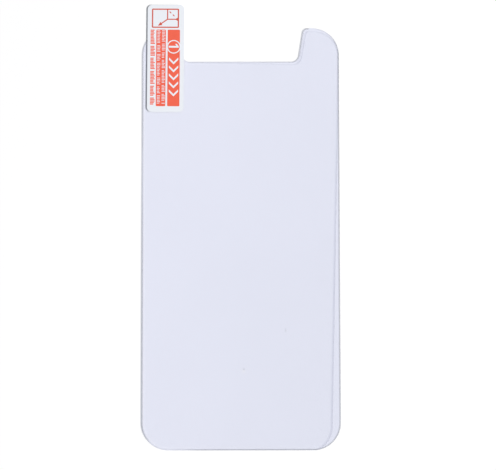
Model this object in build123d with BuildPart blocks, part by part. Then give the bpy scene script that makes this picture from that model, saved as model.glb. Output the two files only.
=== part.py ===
"""A phone screen protector: notched tempered glass, its release liner and a printed pull tab.

It lies flat, with the outer face of the glass down and the liner and the tab on top.
The origin is the middle of the outer face, +Z points up and +Y to the notched end.
Sizes are in millimetres and angles in degrees.
"""

import os
from math import radians, tan

from build123d import *

# Glass sheet
glass_width = 66.0
glass_length = 140.8
glass_thickness = 0.33
corner_radius = 9.0

# Notch for the earpiece and the front camera, between two ears with a short flat on top
notch_depth = 11.35
notch_lean = 9.0
notch_floor_radius = 2.5
ear_tip_radius = 1.7
ear_flat = 1.6

# Ground edge: a wide rounded bevel on the outer face and a fine arris on the glued face
bevel_width = 0.55
bevel_round = 1.0
edge_land = 0.09
arris = 0.04

# Release liner, turned a little about a point above the middle of the sheet
liner_thickness = 0.1
liner_inset = 0.4
liner_spare = 0.6
liner_skew = 1.3
liner_turn_x = -5.0
liner_turn_drop = 28.4

# Pull tab, stuck on the liner over the left ear and reaching past it
tab_width = 12.3
tab_length = 36.3
tab_thickness = 0.15
tab_corner_radius = 1.6
tab_side_margin = 1.73
tab_reach = 8.0
tab_skew = 0.4

# Red print on the tab: two long bars, and the frame of a sign above them
print_thickness = 0.02
print_side_margin = 1.42
print_free_margin = 1.3
print_foot_margin = 1.95
wide_bar = 4.1
narrow_bar = 3.2
bar_gap = 0.62
bar_corner_radius = 0.35
sign_side_margin = 1.43
sign_width = 9.1
sign_height = 6.55
sign_line = 0.42
sign_corner_radius = 0.4
sign_gap = 0.6

os.makedirs("parts", exist_ok=True)

ear_top = glass_length / 2
ear_tip_run = ear_tip_radius / tan(radians(90 + notch_lean) / 2)
ear_width = corner_radius + ear_flat + ear_tip_run
notch_mouth = glass_width - 2 * ear_width
bevel_height = glass_thickness - edge_land - arris
liner_turn_y = ear_top - liner_turn_drop
liner_top = glass_thickness + liner_thickness

# Outline of the sheet: a rounded rectangle with the notch cut into its upper end
with BuildSketch() as glass_outline:
    Rectangle(glass_width, glass_length)
    with Locations((0, ear_top)):
        Trapezoid(
            notch_mouth,
            notch_depth,
            90 + notch_lean,
            align=(Align.CENTER, Align.MAX),
            mode=Mode.SUBTRACT,
        )
    ear_tips = glass_outline.vertices().group_by(Axis.Y)[-1].sort_by(Axis.X)[1:3]
    fillet(ear_tips, ear_tip_radius)
    notch_floor = glass_outline.vertices().group_by(Axis.Y)[1]
    fillet(notch_floor, notch_floor_radius)
    across = glass_outline.vertices().group_by(Axis.X)
    fillet(across[0] + across[-1], corner_radius)

# Glass, with its ground edge running all round the sheet, the ears and the notch
with BuildPart() as glass:
    add(glass_outline.sketch)
    extrude(amount=glass_thickness)
    outer_face = glass.faces().sort_by(Axis.Z)[0]
    chamfer(outer_face.edges(), bevel_width, bevel_height, reference=outer_face)
    fillet(glass.edges().group_by(Axis.Z)[0], bevel_round)
    chamfer(glass.edges().group_by(Axis.Z)[-1], arris)

# Liner blank: the sheet's outline drawn in by a small inset
with BuildSketch() as liner_blank:
    add(glass_outline.sketch)
    offset(amount=-liner_inset, mode=Mode.REPLACE)

# Liner, laid askew, with spare length at the foot, and trimmed flush where it would overhang
liner_plane = Plane((liner_turn_x, liner_turn_y, glass_thickness)).rotated((0, 0, -liner_skew))
with BuildPart() as release_liner:
    with BuildSketch(liner_plane):
        with Locations((-liner_turn_x, -liner_turn_y), (-liner_turn_x, -liner_turn_y - liner_spare)):
            add(liner_blank.sketch)
    extrude(amount=liner_thickness)
    with BuildSketch(Plane.XY.offset(glass_thickness)):
        add(glass_outline.sketch)
    extrude(amount=liner_thickness, mode=Mode.INTERSECT)

# Pull tab, flat on the liner
tab_x = -glass_width / 2 + tab_side_margin + tab_width / 2
tab_y = ear_top + tab_reach - tab_length / 2
tab_plane = Plane((tab_x, tab_y, liner_top)).rotated((0, 0, -tab_skew))
with BuildPart() as pull_tab:
    with BuildSketch(tab_plane):
        RectangleRounded(tab_width, tab_length, tab_corner_radius)
    extrude(amount=tab_thickness)

# Frame of the sign, a thin line with rounded corners
with BuildSketch() as sign_frame:
    RectangleRounded(sign_width, sign_height, sign_corner_radius)
    offset(amount=-sign_line, mode=Mode.SUBTRACT)

# Print, in the tab's own frame: the bars fill the length that the sign leaves
bar_length = tab_length - print_free_margin - sign_height - sign_gap - print_foot_margin
bar_y = -tab_length / 2 + print_foot_margin + bar_length / 2
wide_bar_x = tab_width / 2 - print_side_margin - wide_bar / 2
narrow_bar_x = wide_bar_x - wide_bar / 2 - bar_gap - narrow_bar / 2
sign_x = -tab_width / 2 + sign_side_margin + sign_width / 2
sign_y = tab_length / 2 - print_free_margin - sign_height / 2
with BuildPart() as tab_print:
    with BuildSketch(tab_plane.offset(tab_thickness)):
        with Locations((wide_bar_x, bar_y)):
            RectangleRounded(wide_bar, bar_length, bar_corner_radius)
        with Locations((narrow_bar_x, bar_y)):
            RectangleRounded(narrow_bar, bar_length, bar_corner_radius)
        with Locations((sign_x, sign_y)):
            add(sign_frame.sketch)
    extrude(amount=print_thickness)

glass.part.label = "glass"
export_step(glass.part, "parts/glass.step")

release_liner.part.label = "release_liner"
export_step(release_liner.part, "parts/release_liner.step")

pull_tab.part.label = "pull_tab"
export_step(pull_tab.part, "parts/pull_tab.step")

tab_print.part.label = "tab_print"
export_step(tab_print.part, "parts/tab_print.step")
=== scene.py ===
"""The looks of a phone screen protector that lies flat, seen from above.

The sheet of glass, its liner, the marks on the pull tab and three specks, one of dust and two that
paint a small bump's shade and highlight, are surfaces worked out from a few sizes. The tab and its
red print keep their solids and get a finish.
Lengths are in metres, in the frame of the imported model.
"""

from math import cos, pi, radians, sin

import bpy
import numpy as np
from bpy.props import FloatProperty, FloatVectorProperty, IntProperty, PointerProperty
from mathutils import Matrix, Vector


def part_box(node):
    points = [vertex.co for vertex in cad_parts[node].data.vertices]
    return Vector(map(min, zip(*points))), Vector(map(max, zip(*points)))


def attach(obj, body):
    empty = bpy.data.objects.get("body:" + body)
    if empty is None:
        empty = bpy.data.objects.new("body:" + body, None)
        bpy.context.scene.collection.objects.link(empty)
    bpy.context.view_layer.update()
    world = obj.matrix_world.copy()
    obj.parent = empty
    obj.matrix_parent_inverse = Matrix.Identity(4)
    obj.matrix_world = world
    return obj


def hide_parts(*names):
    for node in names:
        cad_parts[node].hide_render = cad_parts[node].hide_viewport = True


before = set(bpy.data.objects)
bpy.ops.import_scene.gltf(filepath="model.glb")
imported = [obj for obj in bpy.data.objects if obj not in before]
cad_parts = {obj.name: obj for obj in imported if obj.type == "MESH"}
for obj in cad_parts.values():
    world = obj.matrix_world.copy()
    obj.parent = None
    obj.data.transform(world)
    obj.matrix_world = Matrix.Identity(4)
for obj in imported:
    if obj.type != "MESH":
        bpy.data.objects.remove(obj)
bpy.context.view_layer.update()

bl_info = {
    "name": "Screen protector",
    "version": (1, 0, 0),
    "blender": (4, 5, 0),
    "location": "3D View > Sidebar > Screen protector",
    "description": "Adds a phone screen protector with its liner, pull tab and stage",
    "category": "Add Mesh",
}

MM = 0.001
BODY = "root"

GLASS_LOW, GLASS_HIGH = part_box("glass")
TAB_LOW, TAB_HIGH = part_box("pull_tab")
PRINT_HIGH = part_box("tab_print")[1]

# Clear air between sheets that touch, so that no two clear faces lie in one plane
AIR_GAP = 0.006 * MM

# Rise from one flat mark to the next where marks cross
STEP = 0.0002 * MM

# Arcs of the outline, points on each of them, and points on each straight run between two
ARC_COUNT = 8
ARC_POINTS = 25
RUN_POINTS = 60

# A point of an outline is kept where the outline turns by at least this sine, and every few points,
# so that the looks can change along a straight run
LEAST_TURN = 1e-4
KEPT_STRIDE = 6

# Least distance that is divided by
LEAST_DISTANCE = 1e-9

# Points across the curve into the bevel and across the bevel
CURVE_POINTS = 6
BEVEL_POINTS = 5

# Where the painted highlight's pale line starts on the outer face and where it is full, in its widths
# from the curve
PAINTED_GLEAM_RINGS = (1.2, 0.4)

# Painted shade and a painted highlight round the edges, as pairs of place and value with an even change
# between.
# Arc i of the eight runs from 2i to 2i + 1 and a straight run follows it, from the left side round
# the foot. The values are set one by one.

# How deep the painted shade along the glass edge is: it stands for the bevel's refraction and changes
# round the outline with how the light falls
EDGE_SHADE = (
    (0, 1), (0.4, 1), (0.5, 0.25), (0.75, 0.25), (1.06, 0.12),  # left corner of the foot
    (1.2, 0.8), (1.5, 0.92), (2, 0.95),  # foot
    (3, 0.95), (4, 1),  # right side
    (5, 0.05), (5.55, 0.1), (5.9, 2), (8.6, 2),  # right ear
    (8.8, 1.2), (9, 1), (9.6, 0.6), (10, 0.55), (10.6, 0.1),  # notch
    (11, 1), (12, 1), (13, 0.5), (14, 0.05),  # left ear, under the tab
    (15, 1.9), (15.2, 1.9), (15.27, 0.7), (15.4, 0.75), (15.6, 1.05), (16, 1),  # left side
)

# How fine the painted shade line along the glass edge is: the power to which it fades inwards
EDGE_SHADE_POWER = (
    (0, 1.3), (1, 2.2), (2, 2.2),  # foot
    (3, 1.3), (4, 1.3),  # right side
    (5, 2.4), (8, 2.4), (8.6, 2.8),  # right ear
    (9, 4), (10, 4),  # notch
    (11, 2.4), (14, 2.6), (15.12, 2.6),  # left ear, and beside the tab
    (15.25, 1.3), (16, 1.3),  # left side
)

# How strong the painted highlight is on the pale line inside the painted edge shade, most on the left
# side where the light gathers
PAINTED_GLEAM = ((0, 1), (1, 0.4), (3, 0.1), (5, 0.3), (14, 0.3), (15, 1), (16, 1))

# How much painted shade shows along the liner's cut edge
CUT_SHADE = (
    (0, 0.75), (0.35, 0.75), (0.5, 0.1), (1.05, 0.1),  # left corner of the foot
    (1.35, 0.7), (2, 0.7),  # foot
    (2.6, 1), (3.6, 1), (3.8, 0.75),  # right side
    (4.8, 0.4), (5, 0.14), (6, 0.14), (6.4, 0.75), (8.4, 0.75),  # right ear
    (8.8, 0.25), (10.6, 0.25),  # notch
    (14.5, 0.05), (15.2, 0.05), (15.45, 0.75), (16, 0.75),  # left side
)

# Rows of short strokes on the tab: the strokes' foot across it, their full height, and where the
# row starts and ends along it
RED_ROW = (-5.12 * MM, 1.52 * MM, 9.5 * MM, -16.3 * MM)
WHITE_ROWS = (
    (-2.86 * MM, 1.1 * MM, 9.3 * MM, -16.0 * MM),
    (-1.28 * MM, 1.1 * MM, 9.3 * MM, -16.0 * MM),
)

# Heights of the strokes as shares of the full one, and how many places a group of them takes
STROKE_HEIGHTS = (1.0, 0.86, 0.72)
LEAST_GROUP = 5
MOST_GROUP = 10
ROW_SEED = 7

# In the sign: where the dashes start and end as shares of their line, their width in lines, half
# the arrow head's width in its lengths, and the corner mark's corners from the fold line's end
DASHES = ((0.19, 0.35), (0.51, 0.67))
DASH_WIDTH = 0.9
ARROW_HALF = 0.45
CORNER_MARK = ((0, -0.55 * MM), (0, 0.55 * MM), (-1.0 * MM, 0))

# In the ring: the points round it, and the numeral's corners for a height of 1
RING_POINTS = 64
NUMERAL = ((-0.09, 0), (0.09, 0), (0.09, 1), (-0.03, 1), (-0.29, 0.8), (-0.29, 0.63), (-0.09, 0.77))

# Dust on the liner, and a painted shade and painted highlight of a small bump on it: place across and
# along, half length, half width, height, turn in degrees and paleness
DUST_AND_BUMP_SHADE = (
    (14.82 * MM, -30.93 * MM, 0.68 * MM, 0.2 * MM, 0.02 * MM, 92.0, 0.3),
    # The next two paint a small bump: a grey lump for its shade and a white lump, towards the foot, for
    # its highlight
    (0.99 * MM, -43.72 * MM, 0.36 * MM, 0.28 * MM, 0.03 * MM, 20.0, 0.2),
    (0.91 * MM, -44.47 * MM, 0.4 * MM, 0.32 * MM, 0.03 * MM, 160.0, 1.0),
)

# A lump of dust: points from foot to top and round, the latitude in degrees at which it is closed,
# and how often and how far its plan is drawn in and out
LUMP_RINGS = 13
LUMP_POINTS = 28
LUMP_LATITUDE = 84
LUMP_WAVES = 3
LUMP_WAVE = 0.1

# Scales of the noise patterns, per metre
CLOUD_SCALE = 25.0
FROST_SCALE = 3000.0
LABEL_SCALE = 900.0
INK_SCALE = 600.0
LINT_SCALE = 5000.0

# How the glass's cast deepens per metre across and along the sheet, a painted shade towards the
# foot's right corner, and between which shares its random cloud wavers
PAINTED_DRIFT = (6.0, -2.9, 0.0)
CLOUD_RANGE = (0.35, 0.65)

# Darkest patches of the frost and of the label as shares of their colour, and how far those of
# the ink go to black
FROST_LOW = 0.85
LABEL_LOW = 0.97
INK_SHADE = 0.12

# Power by which the mirror on a clear sheet grows towards grazing sight
GRAZING_POWER = 5.0

# Sockets of a Mix node that mixes colours, which share their names with others
MIX_FACTOR = 0
MIX_FIRST = 6
MIX_SECOND = 7
MIX_RESULT = 2

# Colours of the sky's light and of the lamp, which may pass 1
SKY_TONE = (0.9, 0.98, 1.1)
KEY_TONE = (1.027, 1.004, 0.976)

WHITE = (1.0, 1.0, 1.0)
BLACK = (0.0, 0.0, 0.0)


def length(label, description, size):
    """A property for a length, given in millimetres."""
    return FloatProperty(
        name=label,
        description=description,
        default=size * MM,
        precision=5,
        subtype="DISTANCE",
        unit="LENGTH",
    )


def angle(label, description, degrees):
    """A property for an angle, given in degrees."""
    return FloatProperty(name=label, description=description, default=radians(degrees), subtype="ANGLE")


def colour(label, description, rgb):
    """A property for a linear colour."""
    return FloatVectorProperty(
        name=label,
        description=description,
        default=rgb,
        size=3,
        min=0.0,
        max=1.0,
        subtype="COLOR",
    )


def share(label, description, amount):
    """A property for a share from none to all."""
    return FloatProperty(
        name=label,
        description=description,
        default=amount,
        min=0.0,
        max=1.0,
        subtype="FACTOR",
    )


def tab_place(label, description, x, y):
    """A property for a place on the tab, given in millimetres from the tab's middle."""
    return FloatVectorProperty(
        name=label,
        description=description,
        default=(x * MM, y * MM),
        size=2,
        precision=5,
        subtype="XYZ",
        unit="LENGTH",
    )


class GlassSettings(bpy.types.PropertyGroup):
    """Outline, painted edge shade and tint of the glass."""

    corner_radius: length("Corner radius", "Radius of the four outer corners", 9.0)
    ear_flat: length("Ear flat", "Straight stretch on top of each ear", 1.6)
    ear_tip_radius: length("Ear tip radius", "Radius where an ear turns into the notch", 1.7)
    notch_depth: length("Notch depth", "Depth of the notch below the ears", 11.35)
    notch_floor_radius: length("Notch floor radius", "Radius in the corners of the notch", 2.5)
    notch_lean: angle("Notch lean", "How far the notch's sides lean outwards", 9.0)
    bevel_width: length("Bevel width", "Width of the bevel on the outer face", 0.55)
    bevel_round: length("Bevel round", "Radius where the bevel runs into the outer face", 1.0)
    edge_land: length("Edge land", "Upright band between the bevel and the arris", 0.09)
    arris: length("Arris", "Fine chamfer along the glued face", 0.04)
    # A painted highlight: width of a pale line inside the edge, where the bevel gathers light
    painted_gleam_width: length("Gleam width", "Width of the pale line inside the ground edge", 0.36)
    tint: colour("Tint", "What one pass through the sheet lets through", (0.898, 0.911, 0.982))
    # A darker tint for the random cloud and for painted shade towards the foot's right corner
    deep_and_shaded_tint: colour("Deep tint", "The same at the foot's right corner", (0.844, 0.857, 0.923))
    # Tint of the painted highlight's pale line
    painted_gleam_tint: colour("Gleam tint", "What the pale line lets through", (0.93, 0.935, 0.99))
    gloss: share("Gloss", "How much of a mirror the sheet is when seen straight on", 0.05)
    gloss_roughness: share("Gloss roughness", "How dull that mirror is", 0.02)
    # Painted shade along the edge, for the bevel's refraction: how much the land takes, the darker tint,
    # and a grey frost that the lamps light
    land_shade: share("Land grind", "How dull the top of the upright band is, beside the bevel", 0.3)
    edge_shade_tint: colour("Ground tint", "What the ground edge lets through", (0.7, 0.705, 0.72))
    edge_shade_tone: colour("Ground tone", "Colour of the ground edge's own frost", (0.62, 0.63, 0.66))
    edge_shade_roughness: share("Ground roughness", "How dull the frost is", 0.5)
    frost: share("Frost", "How much of the ground edge is frosted", 0.25)


class LinerSettings(bpy.types.PropertyGroup):
    """Lay and tint of the release liner."""

    inset: length("Inset", "How far the liner is cut inside the glass", 0.4)
    spare: length("Spare", "Extra length at the foot, before it is trimmed", 0.6)
    skew: angle("Skew", "How far the liner is turned on the glass", 1.3)
    turn_x: length("Turn point X", "Point that the liner is turned about", -5.0)
    turn_drop: length("Turn point drop", "How far that point lies below the ears", 28.4)
    # Painted shade along the cut edge: the band it covers, and below, its darker tint
    cut_shade_band: length("Cut band", "Width of the band that shows along the cut edge", 0.45)
    tint: colour("Tint", "What one pass through the liner lets through", (0.999, 0.999, 0.999))
    cut_shade_tint: colour("Cut tint", "What the cut edge lets through", (0.76, 0.767, 0.8))
    gloss: share("Gloss", "How much of a mirror the liner is when seen straight on", 0.01)
    gloss_roughness: share("Gloss roughness", "How dull that mirror is", 0.05)


class TabSettings(bpy.types.PropertyGroup):
    """Finish of the pull tab and the marks on it."""

    skew: angle("Skew", "How far the tab is turned on the glass", 0.4)
    label: colour("Label", "White of the tab", (0.88, 0.912, 0.965))
    label_roughness: share("Label roughness", "How dull the tab is", 0.35)
    pebble: share("Pebble", "How strongly the tab's faint pebble shows", 0.1)
    pebble_depth: length("Pebble depth", "Depth of that pebble", 0.02)
    ink: colour("Ink", "Red of the bars", (0.95, 0.135, 0.073))
    fine_ink: colour("Fine ink", "Deeper red of the sign", (0.68, 0.1, 0.06))
    ink_roughness: share("Ink roughness", "How dull the ink is", 0.3)
    sign_height: length("Sign height", "Height of the sign, down to the gap above the bars", 6.9)
    line: length("Line", "Width of the lines in the sign", 0.36)
    fold: tab_place("Fold", "Where the two fold lines in the sign meet", 0.54, 13.23)
    fold_reach: tab_place("Fold reach", "How far the fold lines run across and along", 3.42, 3.2)
    arrow_tip: tab_place("Arrow tip", "Where the arrow in the sign ends", -2.67, 11.0)
    arrow_head: length("Arrow head", "Length of the arrow's head", 1.4)
    mark_height: length("Mark height", "How far the white marks stand on the print", 0.006)
    ring: tab_place("Ring", "Middle of the ring", 2.68, 3.9)
    ring_radius: length("Ring radius", "Outer radius of the ring", 2.3)
    ring_line: length("Ring line", "Width of the ring's line", 0.34)
    numeral_height: length("Numeral height", "Height of the numeral in the ring", 3.4)
    chevrons: IntProperty(name="Chevrons", description="How many chevrons show the way", default=5, min=1)
    chevron_start: tab_place("Chevron start", "Middle of the first chevron", 2.68, -0.9)
    chevron_pitch: length("Chevron pitch", "From one chevron to the next", 2.7)
    chevron_width: length("Chevron width", "Width of a chevron", 3.1)
    chevron_line: length("Chevron line", "Height of a chevron's arms along the tab", 0.8)
    row_pitch: length("Row pitch", "From one short stroke of a row to the next", 0.5)
    white_stroke: length("White stroke", "Width of the short strokes in the narrow bar", 0.21)
    red_stroke: length("Red stroke", "Width of the short strokes beside the bar", 0.35)


class DustAndBumpShadeSettings(bpy.types.PropertyGroup):
    """Finish of the specks of dust and of the painted shade and highlight of a bump."""

    # The greys also paint the bump's shade, and the white its highlight
    dark: colour("Dark", "Darkest patches of a grey speck", (0.5, 0.52, 0.6))
    grey: colour("Grey", "Palest patches of a grey speck", (0.62, 0.64, 0.73))
    white: colour("White", "Colour of a white speck", (0.98, 0.98, 1.0))
    roughness: share("Roughness", "How dull the specks are", 0.9)


class StageSettings(bpy.types.PropertyGroup):
    """Camera, lamp, sky and floor."""

    lens: FloatProperty(
        name="Lens",
        description="Focal length of the camera, in millimetres",
        default=108.9,
        subtype="DISTANCE_CAMERA",
        unit="CAMERA",
    )
    distance: length("Distance", "From the camera to the point it looks at", 500.0)
    tilt: angle("Tilt", "How far the camera leans towards the foot", 3.67)
    roll: angle("Roll", "How far the camera is turned about its sight", -0.096)
    look_x: length("Look X", "Across the sheet, the point in the middle of the picture", 2.34)
    look_y: length("Look Y", "Along the sheet, the point in the middle of the picture", 0.84)
    floor: colour("Floor", "Colour of the floor", (0.96, 0.96, 0.96))
    floor_glow: share("Floor glow", "Light that the floor shows by itself, as a backdrop does", 0.09)
    floor_half: length("Floor half", "From the middle of the floor to its edges", 3000.0)
    floor_drop: length("Floor drop", "How far the floor lies under the sheet", 0.02)
    sky: share("Sky", "Light from all round", 0.2)
    key: FloatProperty(
        name="Key",
        description="Power of the lamp at the right",
        default=672.0,
        min=0.0,
        unit="POWER",
    )
    key_size: length("Key size", "Width of the lamp", 1400.0)
    key_distance: length("Key distance", "From the middle of the sheet to the lamp", 8000.0)
    key_direction: FloatVectorProperty(
        name="Key direction",
        description="Where the lamp stands, seen from the sheet",
        default=(0.9, -0.3, 1.0),
        size=3,
        subtype="DIRECTION",
    )


class ProtectorSettings(bpy.types.PropertyGroup):
    """All settings of the screen protector."""

    glass: PointerProperty(type=GlassSettings)
    liner: PointerProperty(type=LinerSettings)
    tab: PointerProperty(type=TabSettings)
    dust: PointerProperty(type=DustAndBumpShadeSettings)
    stage: PointerProperty(type=StageSettings)


# Meshes


def new_piece(name, vertices, faces, material, smooth=None, attributes=None):
    """Makes a mesh object from arrays, gives it its finish and lets it ride on the body."""
    mesh = bpy.data.meshes.new(name)
    mesh.from_pydata(vertices.reshape(-1, 3).tolist(), [], faces)
    if smooth is not None:
        mesh.polygons.foreach_set("use_smooth", smooth)
    for title, values in (attributes or {}).items():
        layer = mesh.attributes.new(title, "FLOAT", "POINT")
        layer.data.foreach_set("value", np.asarray(values, np.float32).ravel())
    mesh.materials.append(material)
    mesh.update()
    piece = bpy.data.objects.new(name, mesh)
    bpy.context.scene.collection.objects.link(piece)
    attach(piece, BODY)
    return piece


def lifted(outlines, heights):
    """Rings [t, s, xyz] made of outlines [t, s, xy], outline t at height t."""
    levels = np.broadcast_to(heights[:, None, None], (*outlines.shape[:2], 1))
    return np.concatenate([outlines, levels], axis=-1)


def closed_sheet(rings):
    """Faces of a closed sheet whose edge is rings[t, s]: ring t of the edge's profile at step s.

    Each quad joins steps s and s + 1 of rings t and t + 1, and the first and last ring are
    the rims of the two flat faces. Returns the faces and which of them are smooth.
    """
    ring_count, steps = rings.shape[:2]
    index = np.arange(ring_count * steps).reshape(ring_count, steps)
    ahead = np.roll(index, -1, axis=1)
    quads = np.stack([index[:-1], ahead[:-1], ahead[1:], index[1:]], axis=-1).reshape(-1, 4)
    faces = quads.tolist() + [index[0, ::-1].tolist(), index[-1].tolist()]
    smooth = [True] * len(quads) + [False, False]
    return faces, smooth


def plates(outlines, low, high):
    """Vertices and faces of flat plates, one for each outline in outlines[n, k, xy].

    Every outline is set at two heights, and its k sides are quads between them. The upper
    one rises by a trifle from plate to plate, so that no two tops lie in one plane.
    """
    count, corners = outlines.shape[:2]
    tops = high + STEP * np.arange(count)
    levels = np.stack([np.full(count, low), tops], axis=1)[:, :, None, None]
    levels = np.broadcast_to(levels, (count, 2, corners, 1))
    points = np.concatenate([np.repeat(outlines[:, None], 2, axis=1), levels], axis=-1)
    index = np.arange(count * 2 * corners).reshape(count, 2, corners)
    ahead = np.roll(index, -1, axis=2)
    sides = np.stack([index[:, 0], ahead[:, 0], ahead[:, 1], index[:, 1]], axis=-1).reshape(-1, 4)
    faces = index[:, 1].tolist() + index[:, 0, ::-1].tolist() + sides.tolist()
    return points.reshape(-1, 3), faces


def joined(groups):
    """Puts several groups of vertices and faces into one, each with its own numbers."""
    starts = np.cumsum([0] + [len(points) for points, _ in groups])
    faces = [
        [int(corner + start) for corner in face]
        for (_, group_faces), start in zip(groups, starts)
        for face in group_faces
    ]
    return np.concatenate([points for points, _ in groups]), faces


def turned(points, by):
    """Points turned about the origin by an angle."""
    return points @ np.array([[cos(by), sin(by)], [-sin(by), cos(by)]])


# Sheets


def sheet_outline(glass, insets):
    """The notched outline of the sheet, counter-clockwise, at each of the insets.

    It is eight arcs joined by straight runs. A point of an arc is its centre plus
    (radius - inset) times its direction, and the two arcs in the notch, which are hollow,
    have a negative radius. Returns an array [inset, step, xy].
    """
    half_width = (GLASS_HIGH.x - GLASS_LOW.x) / 2
    half_length = (GLASS_HIGH.y - GLASS_LOW.y) / 2
    corner, tip, hollow = glass.corner_radius, glass.ear_tip_radius, glass.notch_floor_radius
    corner_x = half_width - corner
    corner_y = half_length - corner
    tip_x = corner_x - glass.ear_flat
    lean = glass.notch_lean
    reach = (sin(lean) * (glass.notch_depth - tip - hollow) + tip + hollow) / cos(lean)
    floor_x = tip_x - reach
    floor_y = half_length - glass.notch_depth + hollow
    arcs = np.array(
        [
            (-corner_x, -corner_y, corner, pi, 1.5 * pi),
            (corner_x, -corner_y, corner, 1.5 * pi, 2 * pi),
            (corner_x, corner_y, corner, 0, pi / 2),
            (tip_x, half_length - tip, tip, pi / 2, pi - lean),
            (floor_x, floor_y, -hollow, pi - lean, pi / 2),
            (-floor_x, floor_y, -hollow, pi / 2, lean),
            (-tip_x, half_length - tip, tip, lean, pi / 2),
            (-corner_x, corner_y, corner, pi / 2, pi),
        ]
    )
    sweep = np.linspace(arcs[:, 3], arcs[:, 4], ARC_POINTS, axis=1)
    direction = np.stack([np.cos(sweep), np.sin(sweep)], axis=-1)
    radius = arcs[None, :, 2] - np.asarray(insets)[:, None]
    on_arcs = arcs[None, :, None, :2] + radius[:, :, None, None] * direction[None]
    first = np.roll(on_arcs[:, :, :1], -1, axis=1)
    last = on_arcs[:, :, -1:]
    along = np.linspace(0, 1, RUN_POINTS + 2)[1:-1, None]
    on_runs = last + along * (first - last)
    outline = np.concatenate([on_arcs, on_runs], axis=2)
    return outline.reshape(len(radius), -1, 2)


def along_outline(pairs):
    """A value for each step of the outline, linear between the pairs of place and value."""
    arc = np.linspace(0, 1, ARC_POINTS)
    run = np.linspace(1, 2, RUN_POINTS + 2)[1:-1]
    steps = 2 * np.arange(ARC_COUNT)[:, None] + np.append(arc, run)
    places, values = zip(*pairs)
    return np.interp(steps.ravel(), places, values)


def kept_points(outline):
    """Which points of an outline[step, xy] are kept: those where it turns, and every few."""
    before = outline - np.roll(outline, 1, axis=0)
    after = np.roll(outline, -1, axis=0) - outline
    turn = before[:, 0] * after[:, 1] - before[:, 1] * after[:, 0]
    least = LEAST_TURN * np.linalg.norm(before, axis=1) * np.linalg.norm(after, axis=1)
    return (np.abs(turn) > least) | (np.arange(len(outline)) % KEPT_STRIDE == 0)


def kept_in_glass(points, glass, insets):
    """Points that lie over the sheet's outer edge are brought back to it, along the edge's normal.

    A rounded rectangle is all that lies within the corner radius of a smaller plain one,
    so a point is measured from the nearest point of that plain one.
    """
    corner = glass.corner_radius
    plain = np.array(GLASS_HIGH.xy) - corner
    nearest = np.clip(points, -plain, plain)
    out = points - nearest
    distance = np.linalg.norm(out, axis=-1, keepdims=True)
    most = corner - np.asarray(insets)[:, None, None]
    return nearest + out * np.minimum(1, most / np.maximum(distance, LEAST_DISTANCE))


def glass_sheet(glass, material):
    """The glass: the edge's profile (inset, height) carried along the notched outline.

    From below, the profile is the outer face, an arc into the bevel, the bevel, an upright land,
    the arris and the glued face. It carries a painted shade along the edge, for the bevel's
    refraction, and a painted highlight on a fine line where the outer face turns into the bevel.
    """
    top = GLASS_HIGH.z - AIR_GAP
    bevel_height = top - glass.edge_land - glass.arris
    slope = np.arctan2(bevel_height, glass.bevel_width)
    tangent = glass.bevel_round * np.tan(slope / 2)
    turn = np.linspace(0, slope, CURVE_POINTS)
    curve_in = glass.bevel_width + tangent - glass.bevel_round * np.sin(turn)
    curve_up = glass.bevel_round * (1 - np.cos(turn))
    flat_in = np.linspace(curve_in[-1], 0, BEVEL_POINTS)[1:]
    flat_up = np.linspace(curve_up[-1], bevel_height, BEVEL_POINTS)[1:]
    # Rings that carry the painted highlight's pale line
    painted_gleam_in = curve_in[0] + glass.painted_gleam_width * np.array(PAINTED_GLEAM_RINGS)
    bevel_in = np.concatenate([painted_gleam_in, curve_in, flat_in])
    inset = np.append(bevel_in, [0, glass.arris, 2 * glass.arris])
    height = np.concatenate([[0, 0], curve_up, flat_up, [top - glass.arris, top, top]])
    across = np.append(np.clip(1 - bevel_in / curve_in[0], 0, 1), [glass.land_shade, 0, 0])
    painted_gleam = np.concatenate([[0, 1], np.linspace(1, 0, CURVE_POINTS), 0 * flat_in, [0, 0, 0]])
    outline = sheet_outline(glass, inset)
    kept = kept_points(outline[0])
    rings = lifted(outline[:, kept], height)
    faces, smooth = closed_sheet(rings)
    # Painted shade along the edge, fading inwards and changing round the outline with how the light falls
    shaded = across[:, None] ** along_outline(EDGE_SHADE_POWER)[kept] * along_outline(EDGE_SHADE)[kept]
    looks = {
        "shaded": np.minimum(1, shaded),
        "painted_gleam": painted_gleam[:, None] * along_outline(PAINTED_GLEAM)[kept],
    }
    piece = new_piece("glass_sheet", rings, faces, material, smooth, looks)
    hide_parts("glass")


def liner_film(glass, liner, material):
    """The liner: the sheet's outline at an inset, lengthened at the foot, turned and trimmed.

    The profile runs out along the lower face, up the cut edge and in along the upper face.
    Its cut attribute is how much painted shade shows along the cut edge, and it fades over the band.
    """
    low = GLASS_HIGH.z + AIR_GAP
    high = TAB_LOW.z - AIR_GAP
    band = np.array([liner.cut_shade_band, 0, 0, liner.cut_shade_band])
    height = np.array([low, low, high, high])
    cut = np.array([0, 1, 1, 0])
    outline = sheet_outline(glass, liner.inset + band)
    outline[..., 1] -= np.where(outline[..., 1] < 0, liner.spare, 0)
    turn_point = np.array([liner.turn_x, GLASS_HIGH.y - liner.turn_drop])
    outline = turn_point + turned(outline - turn_point, -liner.skew)
    outline = kept_in_glass(outline, glass, band)
    kept = kept_points(outline[1])
    rings = lifted(outline[:, kept], height)
    faces, _ = closed_sheet(rings)
    # Painted shade along the cut, changing round the outline
    looks = {"cut": cut[:, None] * along_outline(CUT_SHADE)[kept]}
    piece = new_piece("liner_film", rings, faces, material, attributes=looks)
    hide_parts("release_liner")


# Marks


def on_tab(tab, points):
    """Points given from the tab's middle, brought to the tab's place and turn."""
    middle = (np.array(TAB_LOW.xy) + np.array(TAB_HIGH.xy)) / 2
    return middle + turned(points, -tab.skew)


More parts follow.
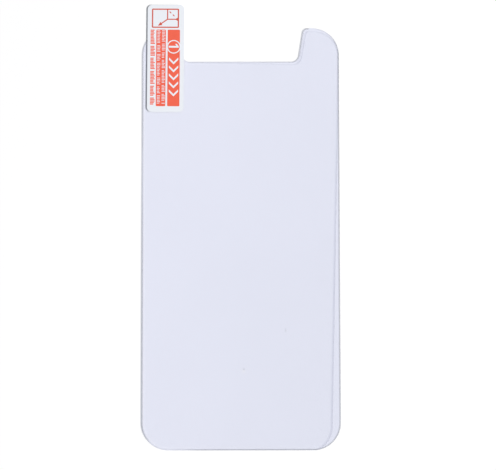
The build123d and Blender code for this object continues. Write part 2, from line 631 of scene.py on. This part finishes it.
def strokes(starts, ends, width):
    """Outlines of straight strokes: each end moved by half the width to both sides."""
    run = ends - starts
    side = np.stack([run[:, 1], -run[:, 0]], axis=-1) / np.linalg.norm(run, axis=1, keepdims=True)
    side = side * width / 2
    return np.stack([starts + side, ends + side, ends - side, starts - side], axis=1)


def row_strokes(tab, row, width, rng):
    """Short strokes in groups, in a row that runs down the tab.

    Stroke i stands at start - i * pitch, and after each group one place stays free.
    """
    foot, height, start, end = row
    places = np.arange(int((start - end) / tab.row_pitch))
    free = np.cumsum(rng.integers(LEAST_GROUP, MOST_GROUP + 1, len(places)))
    places = places[~np.isin(places, free)]
    tall = rng.choice(STROKE_HEIGHTS, len(places)) * height
    along = start - places * tab.row_pitch
    feet = np.stack([np.full(len(places), foot), along], axis=-1)
    tops = np.stack([foot + tall, along], axis=-1)
    return strokes(feet, tops, width)


def sign_outlines(tab):
    """Outlines of the sign's fold lines, dashes, corner mark and arrow."""
    fold = np.array(tab.fold)
    reach = np.array(tab.fold_reach)
    tip = np.array(tab.arrow_tip)
    across = fold + reach * (1, 0)
    along = fold + reach * (0, 1)
    way = (tip - fold) / np.linalg.norm(tip - fold)
    neck = tip - tab.arrow_head * way
    lines = strokes(np.array([fold, fold, fold]), np.array([across, along, neck]), tab.line)
    ends = along + np.array(DASHES)[..., None] * (across - along)
    dashes = strokes(ends[:, 0], ends[:, 1], DASH_WIDTH * tab.line)
    side = ARROW_HALF * tab.arrow_head * np.array([way[1], -way[0]])
    head = np.array([neck + side, tip, neck - side])
    corner = across + np.array(CORNER_MARK)
    return [np.concatenate([lines, dashes]), np.stack([head, corner])]


def ring_band(middle, outer, inner, low, high):
    """A flat ring: the profile (radius, height) carried round a circle.

    The four corners of the profile are joined to a closed band.
    """
    round_angle = np.linspace(0, 2 * pi, RING_POINTS, endpoint=False)
    radius = np.array([inner, outer, outer, inner])[:, None]
    height = np.array([low, low, high, high])[:, None] + 0 * round_angle
    across = middle[0] + radius * np.cos(round_angle)
    along = middle[1] + radius * np.sin(round_angle)
    points = np.stack([across, along, height], axis=-1)
    index = np.arange(height.size).reshape(height.shape)
    ahead = np.roll(index, -1, axis=1)
    quads = np.stack([index, ahead, np.roll(ahead, -1, axis=0), np.roll(index, -1, axis=0)], axis=-1)
    return points.reshape(-1, 3), quads.reshape(-1, 4).tolist()


def numeral_outline(tab):
    """Outline of a plain figure one with a flag, turned a quarter clockwise into the ring."""
    upright = (np.array(NUMERAL) - (0, 0.5)) * tab.numeral_height
    return np.array(tab.ring) + turned(upright, -pi / 2)[None]


def chevron_outlines(tab):
    """Outlines of a file of chevrons that point to the tab's foot."""
    half, line = tab.chevron_width / 2, tab.chevron_line
    lower = np.array([(-half, half / 2), (0, -half / 2), (half, half / 2)]) - (0, line / 2)
    shape = np.concatenate([lower, lower[::-1] + (0, line)])
    steps = np.arange(tab.chevrons)[:, None, None] * np.array([0, -tab.chevron_pitch])
    return np.array(tab.chevron_start) + steps + shape


def red_marks(tab, material):
    """The sign's lines and a row of short red strokes, as thick as the print."""
    rng = np.random.default_rng(ROW_SEED)
    outlines = [*sign_outlines(tab), row_strokes(tab, RED_ROW, tab.red_stroke, rng)]
    groups = [plates(on_tab(tab, outline), TAB_HIGH.z, PRINT_HIGH.z) for outline in outlines]
    points, faces = joined(groups)
    new_piece("red_marks", points, faces, material)


def white_marks(tab, material):
    """The ring with its numeral, the chevrons and two rows of short strokes, through the print."""
    rng = np.random.default_rng(ROW_SEED + 1)
    top = PRINT_HIGH.z + tab.mark_height
    rows = [row_strokes(tab, row, tab.white_stroke, rng) for row in WHITE_ROWS]
    outlines = [numeral_outline(tab), chevron_outlines(tab), *rows]
    groups = [plates(on_tab(tab, outline), TAB_HIGH.z, top) for outline in outlines]
    middle = on_tab(tab, np.array(tab.ring))
    inner = tab.ring_radius - tab.ring_line
    groups.append(ring_band(middle, tab.ring_radius, inner, TAB_HIGH.z, top))
    points, faces = joined(groups)
    new_piece("white_marks", points, faces, material)


def dust_and_bump_shade(material):
    """Specks of dust on the liner and a bump's painted shade and highlight, each a lump of (latitude a,
    longitude b).

    x = half_length * cos(a) * cos(b), y = half_width * cos(a) * sin(b) and
    z = height * (1 + sin(a)) / 2, with the plan drawn in and out in a few waves round it.
    The lumps are opaque and throw no shadow.
    """
    latitude = np.radians(np.linspace(-LUMP_LATITUDE, LUMP_LATITUDE, LUMP_RINGS))
    longitude = np.linspace(0, 2 * pi, LUMP_POINTS, endpoint=False)
    high, wide = np.meshgrid(latitude, longitude, indexing="ij")
    groups = []
    tones = []
    for x, y, half_length, half_width, height, turn, tone in DUST_AND_BUMP_SHADE:
        bulge = np.cos(high) * (1 + LUMP_WAVE * np.sin(LUMP_WAVES * wide + turn))
        plan = np.stack([half_length * bulge * np.cos(wide), half_width * bulge * np.sin(wide)], axis=-1)
        level = TAB_LOW.z - AIR_GAP + height * (1 + np.sin(high)) / 2
        rings = np.concatenate([(x, y) + turned(plan, radians(turn)), level[..., None]], axis=-1)
        groups.append((rings.reshape(-1, 3), closed_sheet(rings)[0]))
        tones.append(np.full(high.size, tone))
    points, faces = joined(groups)
    smooth = [True] * len(faces)
    looks = {"tone": np.concatenate(tones)}
    piece = new_piece("dust_and_bump_shade", points, faces, material, smooth, looks)
    piece.visible_shadow = False


# Nodes


def add_node(tree, kind, inputs=None, **settings):
    """Adds a node. An input that is given a socket is linked to it, and any other is set."""
    node = tree.nodes.new(kind)
    for name, value in settings.items():
        setattr(node, name, value)
    for name, value in (inputs or {}).items():
        if isinstance(value, bpy.types.NodeSocket):
            tree.links.new(value, node.inputs[name])
        else:
            node.inputs[name].default_value = value
    return node


def new_material(name):
    """An empty node material with its output."""
    material = bpy.data.materials.new(name)
    material.use_nodes = True
    tree = material.node_tree
    tree.nodes.clear()
    output = tree.nodes.new("ShaderNodeOutputMaterial")
    return material, tree, output.inputs["Surface"]


def rgba(values):
    """A colour with full alpha, as a socket takes it."""
    return (*values, 1.0)


def mixed(tree, factor, first, second):
    """A colour between two colours."""
    inputs = {MIX_FACTOR: factor, MIX_FIRST: first, MIX_SECOND: second}
    return add_node(tree, "ShaderNodeMix", inputs, data_type="RGBA").outputs[MIX_RESULT]


def blended(tree, amount, first, second):
    """A shader between two shaders."""
    return add_node(tree, "ShaderNodeMixShader", {0: amount, 1: first, 2: second}).outputs[0]


def reckoned(tree, operation, first, second, clamp=False):
    """The outcome of a sum or comparison of two values."""
    node = add_node(tree, "ShaderNodeMath", {0: first, 1: second}, operation=operation, use_clamp=clamp)
    return node.outputs[0]


def ranged(tree, value, low, high=1.0):
    """A value from 0 to 1, brought to the range from low to high."""
    inputs = {"Value": value, "To Min": low, "To Max": high}
    return add_node(tree, "ShaderNodeMapRange", inputs).outputs[0]


def own_place(tree):
    """The place of a point on its piece."""
    return add_node(tree, "ShaderNodeTexCoord").outputs["Object"]


def attribute(tree, name):
    """An attribute of the piece's points."""
    return add_node(tree, "ShaderNodeAttribute", attribute_name=name).outputs["Fac"]


def noise(tree, place, scale, detail=2.0):
    """An uneven pattern from 0 to 1."""
    inputs = {"Vector": place, "Scale": scale, "Detail": detail}
    return add_node(tree, "ShaderNodeTexNoise", inputs).outputs[0]


def solid_shader(tree, tone, roughness, **more):
    """A plain surface that lets nothing through."""
    inputs = {"Base Color": tone, "Roughness": roughness, **more}
    return add_node(tree, "ShaderNodeBsdfPrincipled", inputs).outputs[0]


def clear_shader(tree, tint, gloss, roughness):
    """A thin clear sheet: what it lets through, and a mirror that grows towards grazing sight.

    The mirror's share is gloss + (1 - gloss) * facing^5, on the outer side of each face.
    """
    facing = add_node(tree, "ShaderNodeLayerWeight").outputs["Facing"]
    mirror = ranged(tree, reckoned(tree, "POWER", facing, GRAZING_POWER), gloss)
    inside = add_node(tree, "ShaderNodeNewGeometry").outputs["Backfacing"]
    outside = reckoned(tree, "SUBTRACT", 1.0, inside)
    amount = reckoned(tree, "MULTIPLY", mirror, outside)
    through = add_node(tree, "ShaderNodeBsdfTransparent", {"Color": tint}).outputs[0]
    shine = add_node(tree, "ShaderNodeBsdfGlossy", {"Roughness": roughness}).outputs[0]
    return blended(tree, amount, through, shine)


def seen_rays(tree):
    """1 for rays that show something: from the camera, off a gloss or through a clear sheet."""
    path = add_node(tree, "ShaderNodeLightPath").outputs
    seen = reckoned(tree, "MAXIMUM", path["Is Camera Ray"], path["Is Glossy Ray"])
    return reckoned(tree, "MAXIMUM", seen, path["Is Transmission Ray"])


# Finishes


def glass_finish(glass):
    """Clear glass with a lavender cast, painted shade that deepens it towards the foot's right corner,
    painted shade along the edge with a grey frost, and a painted highlight inside that.
    """
    material, tree, surface = new_material("tempered_glass")
    place = own_place(tree)
    # Painted shade that deepens the cast towards the foot's right corner, added to a random cloud
    painted_drift = add_node(tree, "ShaderNodeVectorMath", {0: place, 1: PAINTED_DRIFT}, operation="DOT_PRODUCT")
    cloud = ranged(tree, noise(tree, place, CLOUD_SCALE), *CLOUD_RANGE)
    cloud_and_shade = reckoned(tree, "ADD", cloud, painted_drift.outputs["Value"], clamp=True)
    body = mixed(tree, cloud_and_shade, rgba(np.sqrt(glass.tint)), rgba(np.sqrt(glass.deep_and_shaded_tint)))
    # Painted highlight on a pale line inside the edge
    pale = mixed(tree, attribute(tree, "painted_gleam"), body, rgba(np.sqrt(glass.painted_gleam_tint)))
    # Painted shade along the edge: a darker tint
    shaded = attribute(tree, "shaded")
    tint = mixed(tree, shaded, pale, rgba(glass.edge_shade_tint))
    clear = clear_shader(tree, tint, glass.gloss, glass.gloss_roughness)
    # A grey frost, lit by the lamps, deepens the painted edge shade
    grain = noise(tree, place, FROST_SCALE, detail=3.0)
    tone = mixed(tree, grain, rgba(FROST_LOW * np.array(glass.edge_shade_tone)), rgba(glass.edge_shade_tone))
    frost = solid_shader(tree, tone, glass.edge_shade_roughness)
    amount = reckoned(tree, "MULTIPLY", shaded, glass.frost)
    tree.links.new(blended(tree, amount, clear, frost), surface)
    return material


def liner_finish(liner):
    """Clear film, with painted shade along its cut edge."""
    material, tree, surface = new_material("clear_liner")
    cut = attribute(tree, "cut")
    # Painted shade along the cut edge
    tint = mixed(tree, cut, rgba(np.sqrt(liner.tint)), rgba(np.sqrt(liner.cut_shade_tint)))
    tree.links.new(clear_shader(tree, tint, liner.gloss, liner.gloss_roughness), surface)
    return material


def label_finish(tab):
    """White film label with a faint pebble."""
    material, tree, surface = new_material("white_label")
    grain = noise(tree, own_place(tree), LABEL_SCALE, detail=3.0)
    tone = mixed(tree, grain, rgba(LABEL_LOW * np.array(tab.label)), rgba(tab.label))
    inputs = {"Height": grain, "Strength": tab.pebble, "Distance": tab.pebble_depth}
    bump = add_node(tree, "ShaderNodeBump", inputs).outputs[0]
    tree.links.new(solid_shader(tree, tone, tab.label_roughness, Normal=bump), surface)
    return material


def ink_finish(tab, sign_foot):
    """Printed ink, a little uneven in its cover, and deeper above the height where the sign begins."""
    material, tree, surface = new_material("red_ink")
    place = own_place(tree)
    along = add_node(tree, "ShaderNodeSeparateXYZ", {"Vector": place}).outputs["Y"]
    fine = reckoned(tree, "GREATER_THAN", along, sign_foot)
    ink = mixed(tree, fine, rgba(tab.ink), rgba(tab.fine_ink))
    cover = noise(tree, place, INK_SCALE, detail=4.0)
    tone = mixed(tree, cover, mixed(tree, INK_SHADE, ink, rgba(BLACK)), ink)
    tree.links.new(solid_shader(tree, tone, tab.ink_roughness), surface)
    return material


def dust_and_bump_finish(dust):
    """Uneven specks of dust, and a bump's painted shade and highlight, from pale grey to nearly white."""
    # This material is also the bump's painted shade and highlight
    material, tree, surface = new_material("dust")
    clumps = noise(tree, own_place(tree), LINT_SCALE)
    grey = mixed(tree, clumps, rgba(dust.dark), rgba(dust.grey))
    shade = mixed(tree, attribute(tree, "tone"), grey, rgba(dust.white))
    tree.links.new(solid_shader(tree, shade, dust.roughness), surface)
    return material


# Stage


def add_floor(stage):
    """A wide pale floor just under the sheet, with a little glow of its own."""
    half = stage.floor_half
    level = GLASS_LOW.z - stage.floor_drop
    corners = [(-half, -half, level), (half, -half, level), (half, half, level), (-half, half, level)]
    mesh = bpy.data.meshes.new("floor")
    mesh.from_pydata(corners, [], [(0, 1, 2, 3)])
    material, tree, surface = new_material("pale_floor")
    paint = add_node(tree, "ShaderNodeBsdfDiffuse", {"Color": rgba(stage.floor)}).outputs[0]
    glow = reckoned(tree, "MULTIPLY", seen_rays(tree), stage.floor_glow)
    light = add_node(tree, "ShaderNodeEmission", {"Strength": glow}).outputs[0]
    both = add_node(tree, "ShaderNodeAddShader", {0: paint, 1: light}).outputs[0]
    tree.links.new(both, surface)
    mesh.materials.append(material)
    floor = bpy.data.objects.new("floor", mesh)
    bpy.context.scene.collection.objects.link(floor)


def add_sky(stage):
    """Even light from all round, which shows as white."""
    world = bpy.data.worlds.new("studio")
    world.use_nodes = True
    tree = world.node_tree
    tree.nodes.clear()
    seen = seen_rays(tree)
    tone = mixed(tree, seen, rgba(SKY_TONE), rgba(WHITE))
    inputs = {"Color": tone, "Strength": ranged(tree, seen, stage.sky)}
    sky = add_node(tree, "ShaderNodeBackground", inputs).outputs[0]
    output = tree.nodes.new("ShaderNodeOutputWorld")
    tree.links.new(sky, output.inputs["Surface"])
    bpy.context.scene.world = world


def add_key(stage):
    """A lamp to the right, a little towards the foot, whose shadows draw the left edges."""
    lamp = bpy.data.lights.new("key", "AREA")
    lamp.energy = stage.key
    lamp.shape = "DISK"
    lamp.size = stage.key_size
    lamp.color = KEY_TONE
    key = bpy.data.objects.new("key", lamp)
    key.location = stage.key_distance * Vector(stage.key_direction).normalized()
    key.rotation_euler = key.location.to_track_quat("Z", "Y").to_euler()
    bpy.context.scene.collection.objects.link(key)


def add_camera(stage):
    """The camera above the sheet, leaning a little towards the foot."""
    data = bpy.data.cameras.new("camera")
    data.lens = stage.lens
    camera = bpy.data.objects.new("camera", data)
    target = Vector((stage.look_x, stage.look_y, 0))
    camera.location = target + stage.distance * Vector((0, -sin(stage.tilt), cos(stage.tilt)))
    camera.rotation_euler = (stage.tilt, 0, stage.roll)
    bpy.context.scene.collection.objects.link(camera)
    bpy.context.scene.camera = camera


# Operators


class PROTECTOR_OT_glass(bpy.types.Operator):
    """Adds the glass sheet with painted shade along its edge"""

    bl_idname = "protector.glass"
    bl_label = "Glass sheet"

    def execute(self, context):
        glass = context.scene.protector.glass
        glass_sheet(glass, glass_finish(glass))
        return {"FINISHED"}


class PROTECTOR_OT_liner(bpy.types.Operator):
    """Adds the release liner over the glued face"""

    bl_idname = "protector.liner"
    bl_label = "Release liner"

    def execute(self, context):
        settings = context.scene.protector
        liner_film(settings.glass, settings.liner, liner_finish(settings.liner))
        return {"FINISHED"}


class PROTECTOR_OT_tab(bpy.types.Operator):
    """Finishes the pull tab and its red print, and adds the marks"""

    bl_idname = "protector.tab"
    bl_label = "Pull tab"

    def execute(self, context):
        tab = context.scene.protector.tab
        label = label_finish(tab)
        ink = ink_finish(tab, PRINT_HIGH.y - tab.sign_height)
        for node, material in {"pull_tab": label, "tab_print": ink}.items():
            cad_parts[node].material_slots[0].material = material
        red_marks(tab, ink)
        white_marks(tab, label)
        return {"FINISHED"}


class PROTECTOR_OT_dust_and_bump_shade(bpy.types.Operator):
    """Adds the specks of dust on the liner, and a bump's painted shade and highlight"""

    bl_idname = "protector.dust"
    bl_label = "Dust"

    def execute(self, context):
        dust_and_bump_shade(dust_and_bump_finish(context.scene.protector.dust))
        return {"FINISHED"}


class PROTECTOR_OT_stage(bpy.types.Operator):
    """Adds the floor, the light and the camera"""

    bl_idname = "protector.stage"
    bl_label = "Stage"

    def execute(self, context):
        stage = context.scene.protector.stage
        add_floor(stage)
        add_sky(stage)
        add_key(stage)
        add_camera(stage)
        context.scene.view_settings.view_transform = "Standard"
        return {"FINISHED"}


class PROTECTOR_PT_panel(bpy.types.Panel):
    """Lists the pieces of the screen protector and their settings"""

    bl_idname = "PROTECTOR_PT_panel"
    bl_label = "Screen protector"
    bl_space_type = "VIEW_3D"
    bl_region_type = "UI"
    bl_category = "Screen protector"

    def draw(self, context):
        settings = context.scene.protector
        for operator in OPERATORS:
            self.layout.operator(operator.bl_idname)
        for group in (settings.glass, settings.liner, settings.tab, settings.dust, settings.stage):
            box = self.layout.box()
            for name in group.__annotations__:
                box.prop(group, name)


SETTINGS = (
    GlassSettings,
    LinerSettings,
    TabSettings,
    DustAndBumpShadeSettings,
    StageSettings,
    ProtectorSettings,
)
OPERATORS = (
    PROTECTOR_OT_glass,
    PROTECTOR_OT_liner,
    PROTECTOR_OT_tab,
    PROTECTOR_OT_dust_and_bump_shade,
    PROTECTOR_OT_stage,
)
CLASSES = (*SETTINGS, *OPERATORS, PROTECTOR_PT_panel)


def register():
    """Registers the classes and gives the scene its settings."""
    for cls in CLASSES:
        bpy.utils.register_class(cls)
    bpy.types.Scene.protector = PointerProperty(type=ProtectorSettings)


def unregister():
    """Takes the settings and the classes away again."""
    del bpy.types.Scene.protector
    for cls in reversed(CLASSES):
        bpy.utils.unregister_class(cls)


def main():
    """Builds the screen protector on its stage."""
    register()
    bpy.ops.protector.glass()
    bpy.ops.protector.liner()
    bpy.ops.protector.tab()
    bpy.ops.protector.dust()
    bpy.ops.protector.stage()


if __name__ == "__main__":
    main()
